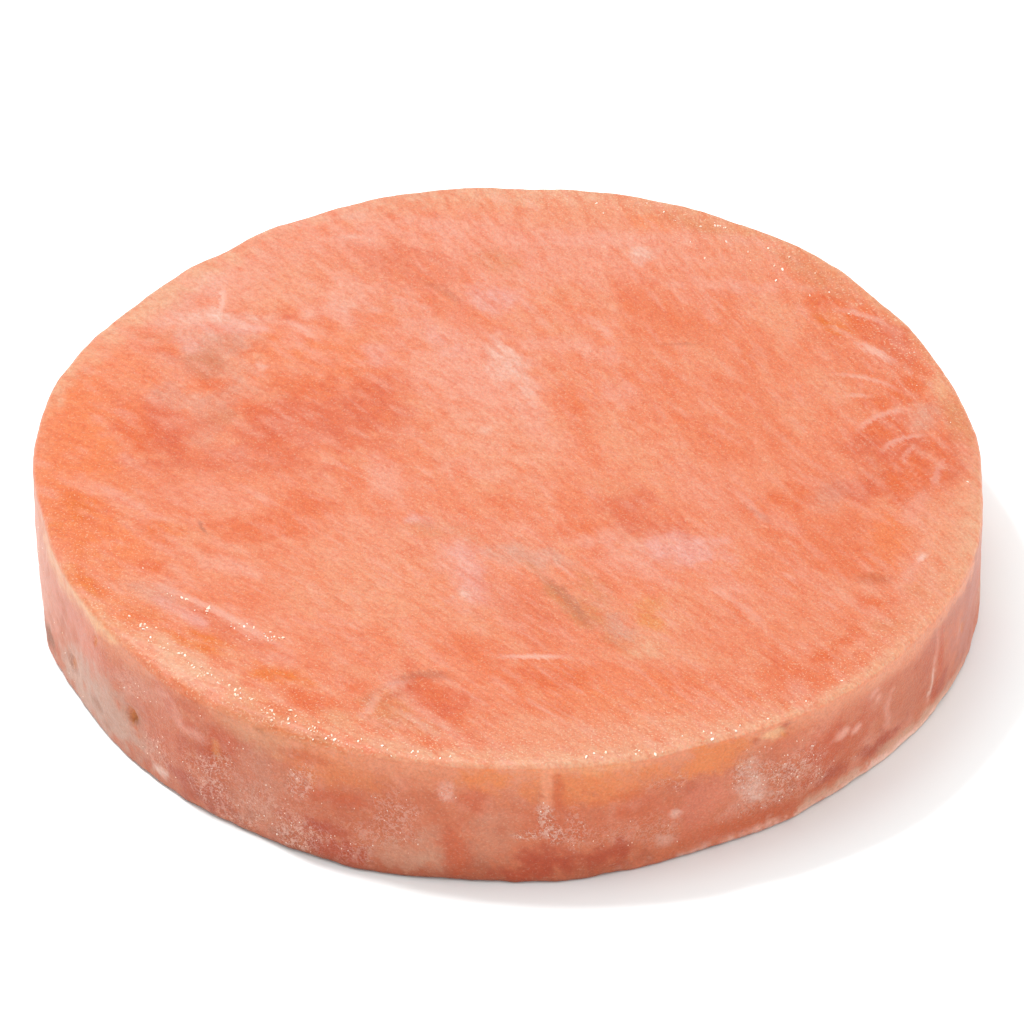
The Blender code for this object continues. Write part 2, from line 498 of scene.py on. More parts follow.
# painted in this order: a tint, then its patches, each (x, y, half length, half width, angle, strength)
topPatches = (
    # back left
    ("pink", (2, 37, 26, 10, 0, 0.55), (-27, 30, 12, 8, 40, 0.45), (-2, 12, 15, 6, 100, 0.6),
     (-6, -14, 14, 5, -5, 0.3)),
    ("peach", (-25, 32, 8, 6, 0, 0.65), (-8, 46, 9, 2.4, 8, 0.6)),
    ("pink", (-5, 14, 13, 5, 102, 0.7), (-13, 18, 3, 2.5, 0, 0.5), (-17, 30, 4, 3, -40, 0.75),
     (-22, 23, 4, 1, -40, 0.6), (-19, 40, 5, 1.4, 20, 0.5), (-9, 42.4, 4.5, 1.5, -8, 0.7),
     (-30, 23.6, 6, 1.4, 0, 0.6)),
    ("orange", (-44, 6, 12, 5, 100, 0.9), (-41, 17, 5, 3, 120, 0.7), (-23, 40.5, 4, 2.4, 25, 0.6)),
    ("peach", (-26, 27.5, 4, 2, 10, 0.6)),
    ("orange", (-20, 18.5, 8, 3, -12, 0.55), (-26, 22, 2, 1.6, 0, 0.6)),
    ("red", (-20, 7, 9, 5, -15, 0.85), (-14, 10.5, 5.5, 3.4, 100, 0.8), (-26, 3, 6, 3.4, -45, 0.75),
     (-36.5, 5.5, 6, 2.6, -78, 1), (-30, -0.5, 10, 2.2, -5, 0.8)),
    ("deep", (-22, 13, 5.5, 2, -5, 0.6), (-25.5, 8, 3, 1.6, -20, 0.6), (-24, 2, 3, 1.2, -55, 0.3),
     (-38.5, 15.4, 2.4, 1.1, -45, 0.3), (-32.5, 14.5, 3, 1.2, -60, 0.75), (-28, 19.5, 2, 1.3, 0, 0.6),
     (-37.5, 19.1, 2.6, 1.2, -10, 0.75), (-24, 26.5, 3.2, 0.9, 10, 0.25),
     (-15.5, 23.5, 3.4, 1.3, 95, 0.35)),
    ("pink", (-41, 3.5, 5, 1.2, -58, 0.35), (-20.6, 4, 2, 1.2, -20, 0.45),
     (-40.4, 0.6, 1.6, 0.9, -60, 0.6)),
    ("red", (-24.2, 25, 1, 0.6, 0, 0.8), (-13, 35.5, 6.5, 3.8, -25, 0.5)),
    ("deep", (-43, 12, 4, 1.2, -45, 0.4), (-13, 37.3, 4, 1.5, -15, 0.25),
     (-8.5, 30.5, 5, 2.2, -60, 0.18), (-4.5, 25.5, 5, 2.6, -35, 0.35), (-8.8, 44.6, 1.1, 0.9, 0, 0.8),
     (-13.5, 43.6, 1.6, 0.9, -30, 0.3)),
    ("grey", (-32, 20.6, 4.6, 3, 0, 1), (-32, 16, 5, 2.6, -20, 0.5), (-31.6, 8, 5.5, 2, 80, 0.5),
     (-29, 12.5, 3, 1.6, -20, 0.5), (-36.3, 28.3, 3.2, 2.6, 30, 0.8)),
    ("tan", (-38, 21.7, 4.5, 0.8, 0, 0.6), (-1.6, 35.2, 2.8, 1.7, -30, 0.5),
     (-10, 46.8, 1.4, 0.8, 0, 0.3)),
    ("lilac", (-2, 28.6, 3.2, 2.4, -25, 0.9), (-14, 18.5, 2.6, 1.8, 0, 0.55),
     (-8, 21.5, 4, 1.4, -50, 0.5), (-28, 22.8, 3, 0.8, -5, 0.6)),
    ("white", (-33, 32, 2.2, 2.8, 0, 0.9), (-33.5, 24.9, 6, 1.7, 3, 0.6),
     (-17.4, 44.4, 2.6, 0.9, 18, 0.7), (-17.6, 39.9, 1.8, 0.6, 0, 0.9), (-1, 17.5, 4, 1.6, 100, 0.55),
     (-2.8, 5, 1, 0.8, 0, 1)),
    ("pink", (-18.4, 25.4, 3.8, 2, -20, 0.9), (-11, 26.8, 2.4, 1.8, 0, 0.7),
     (-11.6, 22, 2.2, 2.2, 0, 0.55), (-26.6, 0.6, 3, 0.9, -25, 0.6), (-19.5, 17.8, 2, 1.2, 0, 0.5),
     (-17.8, 39, 2.6, 1.4, 20, 0.6), (-27.8, 37.2, 3, 1.4, 30, 0.6)),
    ("deep", (-39.8, 5.4, 4.2, 1.7, -72, 1), (-31.9, 13.6, 2, 1.3, -10, 0.7)),
    ("red", (-33.6, 6.4, 3, 1.6, 0, 0.6), (-24.2, 6.4, 3.4, 2.2, -25, 1), (-28.8, 0, 2.2, 1.4, -10, 0.7)),
    ("dusk", (-32.8, 17, 2.4, 1.8, -20, 0.9), (-31, 19.8, 2.2, 1.4, 0, 0.5),
     (-30.2, 7.5, 1.8, 1.4, 0, 0.6)),
    ("grey", (-36.2, 11.6, 2.2, 1.6, -40, 0.6), (-33.4, 10.4, 2.2, 1.4, 0, 0.6)),
    ("white", (-16.8, 26.8, 2.2, 1.5, -20, 0.35)),
    ("pink", (-23, 21, 2, 1.2, -40, 0.55)),
    ("lilac", (-34.6, 20.8, 1.8, 1.4, 0, 0.6), (-31.6, 23.2, 2.2, 1.2, 0, 0.7)),
    ("white", (-34.2, 25.4, 2.6, 1.2, 0, 0.5), (-31.4, 25.6, 0.7, 1.6, 0, 0.8)),
    # back right
    ("peach", (9, 43.8, 15, 3, -8, 0.75), (29.5, 24.5, 5.5, 2, 80, 0.55), (11.5, 3, 7, 3, -60, 0.6),
     (27, 37, 7, 2, -30, 0.4)),
    ("tan", (20, 42.6, 7, 1.9, -25, 0.75), (33.5, 32.5, 7, 2.4, -50, 0.7), (46.4, 7, 4, 1.4, 95, 0.6)),
    ("pink", (8, 39.6, 11, 1.7, -2, 0.85), (25, 39.3, 5, 1, -12, 0.6), (24, 31, 10, 1.2, -4, 0.55),
     (10.8, 11.2, 2.2, 2.2, 0, 0.65), (2, 7.5, 6, 1.8, 112, 0.75)),
    ("deep", (14.5, 28, 5, 3.4, -55, 0.5), (18, 23, 5, 3, -10, 0.35), (6, 10, 5.5, 1.9, -72, 0.5),
     (20.5, 3, 6, 3, -60, 0.5), (16, 14, 5, 2, -70, 0.3), (26, 8, 5, 2.4, -70, 0.3),
     (34.5, 20.3, 4.4, 1.4, -42, 0.4), (33, 27.6, 2.3, 1.7, 0, 1), (36, 24.6, 5, 2.1, -35, 0.95)),
    ("white", (13.8, 36.4, 1.5, 1.3, 40, 0.7), (0.8, 14.5, 5, 1.2, 100, 0.5)),
    ("pink", (5.5, 20, 5, 1.8, 5, 0.65), (3, 38.8, 3, 1.2, 0, 0.5), (9.8, 18, 2.6, 1.6, -30, 0.7)),
    ("red", (41, 21.5, 3.8, 2, -48, 0.7)),
    ("deep", (42.7, 16, 4.6, 1.4, 85, 0.85), (41.3, 12.6, 2.4, 2, 0, 1), (36.5, 13, 3.5, 1.2, -40, 0.4),
     (38.5, 9.8, 4, 1.4, 12, 0.8), (38.2, 5.6, 3.6, 1.9, 20, 0.9), (25, 18, 2.6, 1.8, -60, 0.55)),
    ("red", (36.5, 2, 3, 3, 0, 0.85), (41, 2.4, 3.2, 2.6, 0, 0.8), (46, 3, 2, 2.4, 20, 0.6)),
    ("grey", (43, 7.5, 2.8, 1.3, 80, 0.75)),
    ("cream", (24.5, 41.4, 3.4, 1.2, -30, 1), (45.4, 11.8, 3.2, 1, -68, 1)),
    ("red", (39.2, 7, 2.4, 1.4, 20, 0.7), (40.2, 2.8, 2.4, 1.8, 0, 0.6)),
    ("peach", (5, 28.8, 3, 2, 0, 0.7)),
    ("coral", (13.8, 25, 2.6, 1.6, -50, 0.7)),
    ("orange", (14.5, 42.4, 3, 1.2, -15, 0.6)),
    ("amber", (34.2, 24.4, 2.8, 1.8, -35, 1)),
    ("red", (40.8, 18, 2.4, 1.6, 85, 0.6)),
    # front left
    ("peach", (-14, -20, 12, 8, -10, 0.65), (-3, 2, 8, 7, -40, 0.5)),
    ("deep", (-4, -31.5, 4, 2, -20, 0.6), (-18.5, -31.5, 2, 1, -20, 0.2), (-14, -29, 3, 1.2, -20, 0.35),
     (-15.2, -37.6, 1.4, 1.2, 0, 0.6)),
    ("orange", (-45, -8, 12, 5, -68, 0.95), (-40, -15, 5, 3, -40, 0.6)),
    ("coral", (-30, -5, 9, 5, 0, 0.6)),
    ("deep", (-44.5, -8.5, 3.4, 1.4, -52, 0.9), (-1, -8, 3.4, 3, 0, 0.2)),
    ("red", (-37, -2, 4, 2, -40, 0.2)),
    ("deep", (-36.5, -12.6, 3.4, 1.3, -45, 0.75), (-27, -12, 6, 2, 4, 0.75),
     (-21.5, -7.5, 3.6, 3.2, -60, 0.5), (-17, -2, 5, 1.3, -70, 0.4), (-36.8, -18, 1.5, 1, 0, 0.95)),
    ("pink", (-40, -7, 6, 0.7, -42, 0.65), (-31, -6.4, 6, 2, -8, 0.4), (-29, -17.8, 6, 1, -28, 0.6),
     (-13.2, -3, 4.4, 1.8, 100, 0.75), (-42, -6, 5.5, 0.9, -37, 0.5)),
    ("amber", (-43.8, -20.5, 2.6, 1.3, -35, 1), (-38.5, -26, 3.6, 2.6, -40, 0.55),
     (-31.8, -30.5, 5, 1.7, -25, 0.95)),
    ("lilac", (-4.6, -19, 6, 2.3, 100, 0.9), (-10, -10.2, 2, 0.8, -10, 1)),
    ("red", (-29, -28, 9, 1.5, -40, 0.6)),
    ("grey", (-36, -22.4, 4, 1.5, -32, 0.7)),
    ("lilac", (-33, -26, 3.6, 1, -42, 0.85)),
    ("pink", (-29.5, -25.8, 10, 0.7, -41, 0.4), (-5, -1.5, 3, 1.8, -30, 0.55)),
    ("peach", (-28, -33, 2.4, 1.4, -30, 0.6), (-31.6, -13, 2.6, 1, 10, 0.6),
     (-2.8, -5.2, 2.6, 1.6, -30, 0.7)),
    ("amber", (-22.8, -36, 3.8, 1.6, -22, 1), (-44.8, -8.4, 3, 1.6, -55, 0.7),
     (-35.7, -12.3, 2.4, 1.4, -10, 0.5), (-42.8, -15.8, 2.4, 1.2, -55, 0.6)),
    ("deep", (-20, -39.8, 3.8, 1.8, -35, 0.9), (-22, -34.4, 2.4, 0.6, -12, 0.2)),
    ("tan", (-7, -12, 4.5, 1.5, -20, 0.45), (-12, -41, 3.4, 3, -60, 0.8)),
    ("wedge", (-8.6, -35.8, 2.8, 0.9, 5, 0.25), (-10.5, -37.6, 2.6, 1, 40, 0.7)),
    ("red", (-6.6, -40.2, 6.8, 2.3, -55, 0.95)),
    ("deep", (-8, -38, 3, 1.4, -55, 0.5)),
    ("pink", (-7.8, -42.4, 6.5, 0.9, -52, 0.75), (-23.4, -33.6, 2.2, 0.9, -30, 0.5)),
    ("white", (-5, -22.4, 1, 0.7, 0, 0.7)),
    ("pink", (-1.2, -24.4, 2, 1.4, 0, 0.45)),
    ("peach", (-16, -35, 2.2, 1.4, -20, 0.6)),
    ("cream", (-17.2, -42.2, 2, 1.2, -20, 0.7)),
    ("deep", (-3.7, -42.8, 2.4, 1.4, -30, 1)),
    ("tan", (-8.6, -44, 1.8, 1.2, -40, 0.6)),
    # front right
    ("coral", (24, -8, 12, 8, -50, 0.6), (28, -27, 12, 6, -40, 0.5)),
    ("peach", (15, -31, 6, 4, -60, 0.5), (8, -45, 12, 3, -8, 0.8), (43.5, -12, 7, 2.8, 80, 0.8),
     (24, -42, 5, 2.4, 25, 0.6), (37, -29, 6, 2, 50, 0.5)),
    ("orange", (38.4, -13, 5.5, 2.4, 95, 0.8), (10, -38.5, 10, 4.4, -12, 0.6)),
    ("deep", (4, -36, 7, 2, -8, 0.75), (3, -40.5, 4, 1.4, -15, 0.5), (17, -37, 4, 2.4, -40, 0.45),
     (31, -14, 6.5, 4.4, -50, 0.5), (34, -16.5, 2.4, 1.6, -60, 0.5), (23, -30, 5.5, 3, -30, 0.12),
     (27.5, -35, 4, 2.4, -30, 0.7), (31.2, -32.4, 1.7, 1.4, 0, 0.95), (36.2, -24, 2, 1.2, 10, 0.95),
     (24.8, -9, 3.8, 1.4, -50, 0.9), (27.8, -6.6, 2.2, 1.6, 0, 0.75), (7, -12, 2.8, 1.4, 15, 0.6)),
    ("red", (12.5, -9, 5.4, 2.8, -60, 0.85), (16, -12, 3, 1.4, -40, 0.6), (0.8, -24.5, 6, 3, -65, 0.42),
     (40.5, -2, 5.4, 3.6, 78, 0.9)),
    ("deep", (41.2, -2.5, 4.6, 2.4, 70, 1)),
    ("red", (35, -5.2, 3, 2.2, 0, 1), (45.2, -1.2, 3.2, 2.2, 60, 1)),
    ("pink", (20, -6, 8, 3, -60, 0.35), (9.6, -13, 3, 1.2, 30, 0.6), (40.6, -19, 6, 1, 72, 0.8),
     (42, -7.5, 3, 1, 70, 0.6), (32, -21, 8, 1, -45, 0.35), (22, -21, 5, 1.2, -50, 0.5)),
    ("tan", (42, -21.6, 2.8, 1.8, 65, 0.8), (38.5, -27.6, 2.4, 1.3, 30, 0.6)),
    ("lilac", (17, -15.4, 5, 2.8, -6, 1)),
    ("grey", (1.6, -16.2, 4.4, 2, -12, 0.9), (32.6, -6.4, 1.8, 3.2, 0, 0.5)),
    ("tan", (8.2, -26.4, 7, 1.7, -52, 0.85), (4.4, -22.6, 5, 0.8, -60, 0.9),
     (8.8, -21.8, 3.4, 1, -52, 0.7)),
    ("deep", (30.6, -5, 3, 1.4, 80, 0.7), (34, -30.2, 2.2, 1.2, 50, 0.8)),
    ("wedge", (37, -20, 1.6, 1.2, 0, 0.6)),
    ("yellow", (14.2, -26, 1.8, 2.8, 0, 0.95)),
    ("pink", (10.6, -17.4, 4.4, 1.8, -40, 0.75), (28, -11, 2.6, 1.2, -50, 0.5),
     (14.2, -19.6, 2.6, 1.5, -40, 0.8)),
    # the second rim patch here, along the right edge, is partly the rim's pale colour and partly a painted
    # highlight
    ("rim", (13.6, -31.4, 1.8, 1.8, 0, 0.7), (46.6, -13, 8, 2, 80, 0.9)),
    ("white", (28.5, -38.2, 1.7, 1.3, 40, 0.35), (41.8, -16.4, 1, 0.4, 60, 0.8)),
    ("peach", (17.4, -23.4, 2.6, 1.6, -50, 0.65), (20.4, -33, 2.6, 1.4, -30, 0.6)),
    ("red", (11.4, -12, 1.8, 1.2, -60, 0.6)),
    ("peach", (10.4, -4.8, 2.6, 1.8, -40, 0.8)),
    ("coral", (15, -9.8, 2, 1.6, -50, 0.6), (11.2, -36.8, 3, 1.6, -20, 0.6)),
    ("grey", (10.6, -27.8, 2.6, 1.4, -55, 0.75)),
    ("rim", (15.2, -43.5, 3, 1.6, 10, 0.6)),
    ("deep", (24, -38.8, 2.4, 1.2, 30, 0.6), (23.2, -24.6, 2.4, 1.4, -50, 0.5)),
)

# near the edge of the top: (azimuth, half span in degrees, mm in from the edge, half width, strength)
edgePatches = (
    ("peach", (0, 200, -0.5, 3.2, 0.5)),
    ("pink", (133, 34, 1.5, 8, 0.6), (98, 28, 0.2, 2.4, 0.6)),
    ("orange", (165, 13, 2, 3.4, 0.6)),
    ("rim", (226, 9, 2.4, 2.2, 0.9)),
    ("cream", (210, 10, 0.6, 0.9, 0.7), (240, 9, 2.2, 1.2, 0.7)),
    ("rim", (257, 10, 1.6, 1.4, 0.7)),
    ("peach", (284, 14, 3, 5, 0.6)),
    ("rim", (281, 19, 0.4, 2, 0.62)),
    ("deep", (314, 11, 2.5, 1.3, 0.45)),
    # the thin pale lines right at the front edge (first two here) are partly the rim's pale colour and
    # partly a painted highlight where the top turns down
    ("rim", (282, 52, 0, 0.7, 0.5), (324, 26, 0.4, 0.8, 0.6), (142, 20, 1.2, 2.4, 0.8),
     (92, 22, 0.8, 3, 0.65)),
    ("tan", (242, 12, 0.3, 1.2, 0.9)),
    ("deep", (226, 7, 0, 0.8, 0.6), (240.6, 3, 2.6, 1, 0.6), (261, 3, 2.8, 1, 0.7)),
    ("peach", (340, 18, 2, 3.4, 0.7)),
    ("cream", (166, 9, 0.4, 0.7, 0.5)),
    ("rim", (346, 10, 0.8, 1.6, 0.7), (163, 5, 0.9, 1, 0.5)),
    ("amber", (206, 4, 1.2, 1, 0.8), (193, 4, 1, 1, 0.5)),
    ("cream", (38, 40, 0.6, 0.9, 0.6)),
    ("deep", (30, 8, 2.7, 1.1, 0.8), (0, 7, 4.3, 1.5, 0.7)),
    ("red", (27, 5, 2.4, 1.6, 0.9)),
    ("tan", (8, 5, 1.6, 1.2, 0.7)),
)

# on the side: (azimuth, height, half span in degrees, half height, strength)
sidePatches = (
    # left
    ("pink", (188, 7, 12, 8, 0.85)),
    ("white", (187, 3.6, 4, 4, 0.55)),
    ("coral", (207, 10.5, 9, 3.2, 0.75)),
    # cream along the top of the left side is partly the rim's pale colour, partly a painted highlight on
    # its rounded edge
    ("cream", (199, 13.6, 8, 1.5, 0.6), (211, 14.4, 7, 0.9, 0.85)),
    ("grey", (214, 4.2, 9, 4.6, 0.95), (206, 2.4, 7, 2.8, 0.9)),
    ("brown", (194.8, 2.2, 3, 1.3, 1), (203.8, 3.8, 1.8, 0.9, 0.55), (211.5, 3.6, 1.6, 0.9, 0.6),
     (213.6, 1.8, 0.9, 0.4, 0.45)),
    ("pink", (219.5, 10.2, 2.8, 1.6, 0.4)),
    ("deep", (224, 7, 5, 3, 0.35), (229, 13, 6, 1.6, 0.55)),
    ("pink", (225.6, 12.2, 1.5, 0.6, 0.7), (227.4, 11.4, 1.3, 0.8, 0.6), (229, 10.2, 1.5, 0.9, 0.8),
     (231, 9.8, 1.8, 0.9, 0.8)),
    ("deep", (226.2, 11.5, 1.2, 0.7, 0.6), (229.9, 10.7, 0.9, 0.5, 0.7)),
    ("red", (232, 7.6, 3.4, 2, 0.6), (228.6, 3.4, 2.6, 1.4, 0.7), (233, 2.6, 4, 2.2, 0.7)),
    ("deep", (235, 10.4, 2.5, 2.4, 1)),
    ("white", (224.8, 1.9, 1.8, 0.7, 0.85)),
    # front
    # painted shade: two broad darker patches over the front of the side, which faces away from the lamps
    ("shade", (250, 4.5, 18, 7, 0.4)),
    ("deep", (243, 8.5, 24, 5, 0.24)),
    # painted shade: darker along the base at the front, where the side meets the floor
    ("foot", (263, 0.4, 26, 2.6, 0.55)),
    # painted light: a pale band along the base on the right stands in for light thrown back by the floor
    ("white", (324, 0.6, 28, 1.1, 0.9)),
    ("tan", (240, 13.2, 6, 1.8, 0.5)),
    ("beige", (241, 9, 4, 3.2, 0.25), (239, 3.4, 3.4, 2.4, 0.25)),
    ("orange", (250, 12, 6, 2.6, 0.55)),
    ("deep", (250.6, 8.6, 4.4, 1, 0.6), (246, 12.8, 3.4, 0.8, 0.5)),
    ("red", (247.4, 4.6, 3.2, 0.9, 0.9), (249.6, 2.2, 4.6, 1.7, 0.8)),
    ("beige", (258, 3, 3.4, 2.1, 0.5), (261.4, 4, 1.6, 4, 0.4)),
    ("brown", (240, 14, 0.9, 0.4, 0.35)),
    ("deep", (264.2, 4.2, 1.5, 3.4, 0.6)),
    ("beige", (268.4, 6, 3, 3.4, 0.3)),
    ("deep", (266.2, 11, 1.7, 1.6, 0.7)),
    ("orange", (267.4, 13.5, 3, 1.3, 0.85)),
    ("pink", (263.1, 11.8, 0.8, 1.6, 0.6)),
    ("orange", (279, 12.4, 10, 2.6, 0.8)),
    ("cream", (280, 14.4, 6, 0.7, 0.3)),
    ("deep", (275.8, 11.4, 0.7, 3, 0.6)),
    ("peach", (274.5, 11.8, 0.8, 3.2, 0.8)),
    ("deep", (277, 8, 6, 2.4, 0.4)),
    ("red", (273.6, 2.8, 2.4, 2, 0.8), (277, 3, 3, 1.5, 0.55), (281.8, 3.2, 3.2, 1.6, 0.8),
     (270.8, 1.2, 3, 1, 0.7)),
    ("deep", (286, 8.6, 4, 3, 0.5)),
    ("coral", (293, 7, 4, 4, 0.6)),
    ("white", (289.8, 6.6, 0.6, 0.6, 0.5), (288.4, 3.2, 1.6, 0.9, 0.35)),
    # right
    ("orange", (294.5, 12.8, 5, 2.3, 1)),
    ("deep", (303, 12.2, 5, 1.4, 0.3)),
    ("coral", (306, 10.8, 5, 1.6, 0.25)),
    ("deep", (309.6, 7.8, 4, 3.2, 0.9), (314, 8, 4, 3.4, 0.6), (299, 2.6, 9, 1.6, 0.5),
     (317, 12.2, 13, 1.3, 0.3)),
    ("red", (311, 3.6, 3, 1, 0.7), (320, 3.2, 4, 1.4, 0.8)),
    # pale beige along the base on the right is painted light from the floor as well
    ("beige", (311, 1.3, 7, 0.9, 0.8), (323, 1.8, 4.6, 0.9, 0.8), (336, 1.6, 11, 0.9, 1)),
    ("peach", (322, 13.6, 7, 1.2, 0.5), (340, 13.4, 9, 1.4, 0.5)),
    ("mauve", (325, 6.5, 5, 3, 0.2), (336, 12.2, 9, 1.6, 0.6)),
    ("pink", (311.6, 9.2, 1.3, 0.9, 1), (314.1, 8.3, 0.9, 0.8, 1)),
    ("white", (299, 8.8, 1.4, 2.8, 0.25), (300.2, 6.2, 2, 1.4, 0.4)),
    ("coral", (336, 8, 4, 3.4, 0.35)),
    ("red", (332, 4.4, 2.2, 1.8, 0.7)),
    # painted shade: the far right of the side, which turns from the key lamp, is painted darker
    ("mauve", (345, 7, 9, 9, 0.75)),
    ("pink", (317.6, 10.6, 0.6, 0.7, 0.8), (316.2, 12, 0.9, 0.5, 0.7), (320.2, 7.6, 0.6, 2.6, 0.6)),
    ("coral", (350, 7, 8, 6, 0.4)),
    ("white", (329.4, 6, 0.35, 2.8, 0.75)),
    ("pink", (329.6, 9.6, 0.35, 3.2, 0.5)),
    ("deep", (330.8, 8, 0.6, 4.4, 0.8)),
    ("cream", (301.5, 13.8, 1.7, 0.7, 0.75)),
    ("red", (299.2, 13.4, 0.6, 0.5, 0.6), (303.6, 14.2, 0.6, 0.4, 0.6)),
)

# thin white frost on the side, in the same form without a tint
frostPatches = (
    (299.2, 8.6, 2.2, 3.8, 1), (304.6, 7.8, 4.4, 3, 0.9), (302, 4.6, 6, 1.6, 0.6),
    (232.6, 4.6, 3.4, 3.6, 0.75), (234.8, 7.2, 1.6, 1.6, 0.6), (237, 7, 15, 6.5, 0.18),
    (236, 1.2, 3, 1, 0.6), (245.8, 9.6, 1.5, 2.4, 0.85), (245.5, 2.6, 3.4, 2.6, 0.85),
    (241, 4, 5, 3, 0.4), (257.4, 7.4, 3, 3.4, 0.5), (254, 5, 3, 2, 0.35), (252, 2, 3, 1.6, 0.4),
    (274.4, 8.4, 1.2, 1.8, 1), (272.8, 6.2, 1.7, 0.7, 1), (275.6, 6.4, 1.6, 1.3, 1),
    (277.8, 7, 1.2, 2.6, 0.7), (284, 5.8, 6, 1.8, 0.3), (287.6, 4.2, 2.4, 1.8, 0.35),
    (289.8, 10.6, 0.7, 1.3, 0.6), (287.4, 11.4, 1.6, 0.6, 0.5), (263.2, 11.6, 0.9, 1.6, 0.5),
    (219.4, 10.4, 3, 1.6, 0.45), (224, 4, 3, 2.4, 0.5), (204, 3.2, 5, 2.6, 0.4), (191, 11, 3, 3, 0.2),
    (309, 4.8, 3, 1.4, 0.6), (316, 4.4, 3, 1.2, 0.3),
)

hidden = {"seed": 11, "count": 34}  # more side patches of the same kinds where the photo shows nothing


def patchShare(away, ragged, kind="topEdge"):
    # 1 inside a patch and 0 outside, with a soft ragged edge at a distance of about 1
    start, end = paint[kind]
    return 1.0 - smoothStep(np.sqrt(away) + paint["ragged"] * ragged, start, end)


def topShare(x, y, ragged, centreX, centreY, halfLength, halfWidth, angle):
    turn = math.radians(angle)
    along = (x - centreX) * math.cos(turn) + (y - centreY) * math.sin(turn)
    across = -(x - centreX) * math.sin(turn) + (y - centreY) * math.cos(turn)
    return patchShare((along / halfLength) ** 2 + (across / halfWidth) ** 2, ragged)


def sideShare(azimuth, height, ragged, centre, middle, halfSpan, halfHeight):
    away = (turnedFrom(azimuth, centre) / halfSpan) ** 2 + ((height - middle) / halfHeight) ** 2
    return patchShare(away, ragged, "sideEdge")


def eachPatch(table):
    return [(name, *patch) for name, *patches in table for patch in patches]


def hiddenPatches():
    draw = random.Random(hidden["seed"])
    tinted, frosted = [], []
    for number in range(hidden["count"]):
        place = (draw.uniform(-4, 180), draw.uniform(2, 13))
        size = (draw.uniform(2, 8), draw.uniform(1.4, 4))
        strength = draw.uniform(0.3, 0.8)
        kind = ("red", "pink", "frost", "beige", "frost", "orange", "cream")[number % 7]
        if kind == "frost":
            frosted.append((*place, *size, strength))
        else:
            tinted.append((kind, *place, *size, strength))
    return tinted, frosted


def lightOn(facing, height=99.0):
    # the light from sky, floor and lamps on surfaces that face these ways, this many mm above the floor
    up = facing[:, 2]
    keyWay = np.array(directionOf(studio["key"][0], 0.0))
    aside, below, reach = studio["shadow"]
    low = np.exp(-np.maximum(height, 0.0) / reach)
    shaded = 1.0 - (aside + below * low) * np.clip(facing @ -keyWay, 0.0, None)
    total = studio["world"] * (1.0 + up) / 2.0 + studio["fromFloor"] * shaded * (1.0 - up) / 2.0
    for name in ("key", "overhead"):
        direction = directionOf(*studio[name][:2])
        total = total + studio[name][4] * np.clip(facing @ np.array(direction), 0.0, None) / direction.z
    return total * paint["share"]


fibreWay = {"x": 0.788, "y": 0.616, "bendX": 0.003, "bendY": -0.002}  # across the fibres, in mm


def fibreFrame(places):
    # mm along and across the fibres, whose way bends a little
    x, y, z = places[:, 0], places[:, 1], places[:, 2]
    across = fibreWay["x"] * x + fibreWay["y"] * y + fibreWay["bendX"] * x * x + fibreWay["bendY"] * y * y
    return np.stack((fibreWay["y"] * x - fibreWay["x"] * y, across, z), 1)


def blend(colour, tint, share):
    share = np.asarray(share)[:, None]
    return colour * (1.0 - share) + np.array(screenColour(*tint)) * share


def paintTop(millimetres, x, y, azimuth, inward):
    fibre = fibreFrame(millimetres)
    mottle = 0.50 * noiseAt(millimetres, 6.0, 2.0, 3) + 0.70 * noiseAt(fibre, 1.9, 5.0, 3, (0.30, 1, 1))
    colour = np.tile(screenColour(*topTints["coral"]), (len(x), 1))
    toPeach, toDeep = paint["mottle"]
    colour = blend(colour, topTints["peach"], toPeach * smoothStep(mottle, -0.10, 0.60))
    colour = blend(colour, topTints["deep"], toDeep * smoothStep(-mottle, 0.0, 0.70))
    ragged = noiseAt(millimetres, 2.0, 9.0, 3) + 0.7 * noiseAt(fibre, 0.9, 4.0, 2, (0.3, 1, 1))
    for name, *where, strength in eachPatch(topPatches):
        colour = blend(colour, topTints[name], strength * topShare(x, y, ragged, *where))
    for name, centre, span, depth, width, strength in eachPatch(edgePatches):
        away = (turnedFrom(azimuth, centre) / span) ** 2 + ((inward - depth) / width) ** 2
        colour = blend(colour, topTints[name], strength * patchShare(away, ragged))
    streak = noiseAt(fibre, 0.9, 14.0, 2, (0.22, 1, 1))
    toPink, toDeep = paint["streak"]
    colour = blend(colour, topTints["pink"], toPink * smoothStep(streak, 0.05, 0.70))
    return blend(colour, topTints["deep"], toDeep * smoothStep(-streak, 0.05, 0.70))


def paintSide(millimetres, azimuth):
    height = millimetres[:, 2]
    mottle = noiseAt(millimetres, 5.0, 6.0, 3, (1, 1, 0.6)) + 0.5 * noiseAt(millimetres, 1.6, 8.0, 3)
    colour = np.tile(screenColour(*sideTints["flesh"]), (len(height), 1))
    # paler towards the top of the side, and darker towards the base, which is painted shade where the side
    # meets the floor
    for name, part in (
        ("pink", 0.40 * smoothStep(mottle, 0.05, 0.9)),
        ("red", 0.40 * smoothStep(-mottle, 0.10, 0.9)),
        ("peach", 0.70 * smoothStep(height, 10.5, 14.5)),
        ("foot", 0.15 * smoothStep(-height, -4.0, 0.0)),
    ):
        colour = blend(colour, sideTints[name], part)
    ragged = 1.3 * noiseAt(millimetres, 1.7, 1.0, 3) + 0.9 * noiseAt(millimetres, 0.7, 7.0, 2)
    for name, *where, strength in eachPatch(sidePatches) + hiddenPatches()[0]:
        colour = blend(colour, sideTints[name], strength * sideShare(azimuth, height, ragged, *where))
    return colour


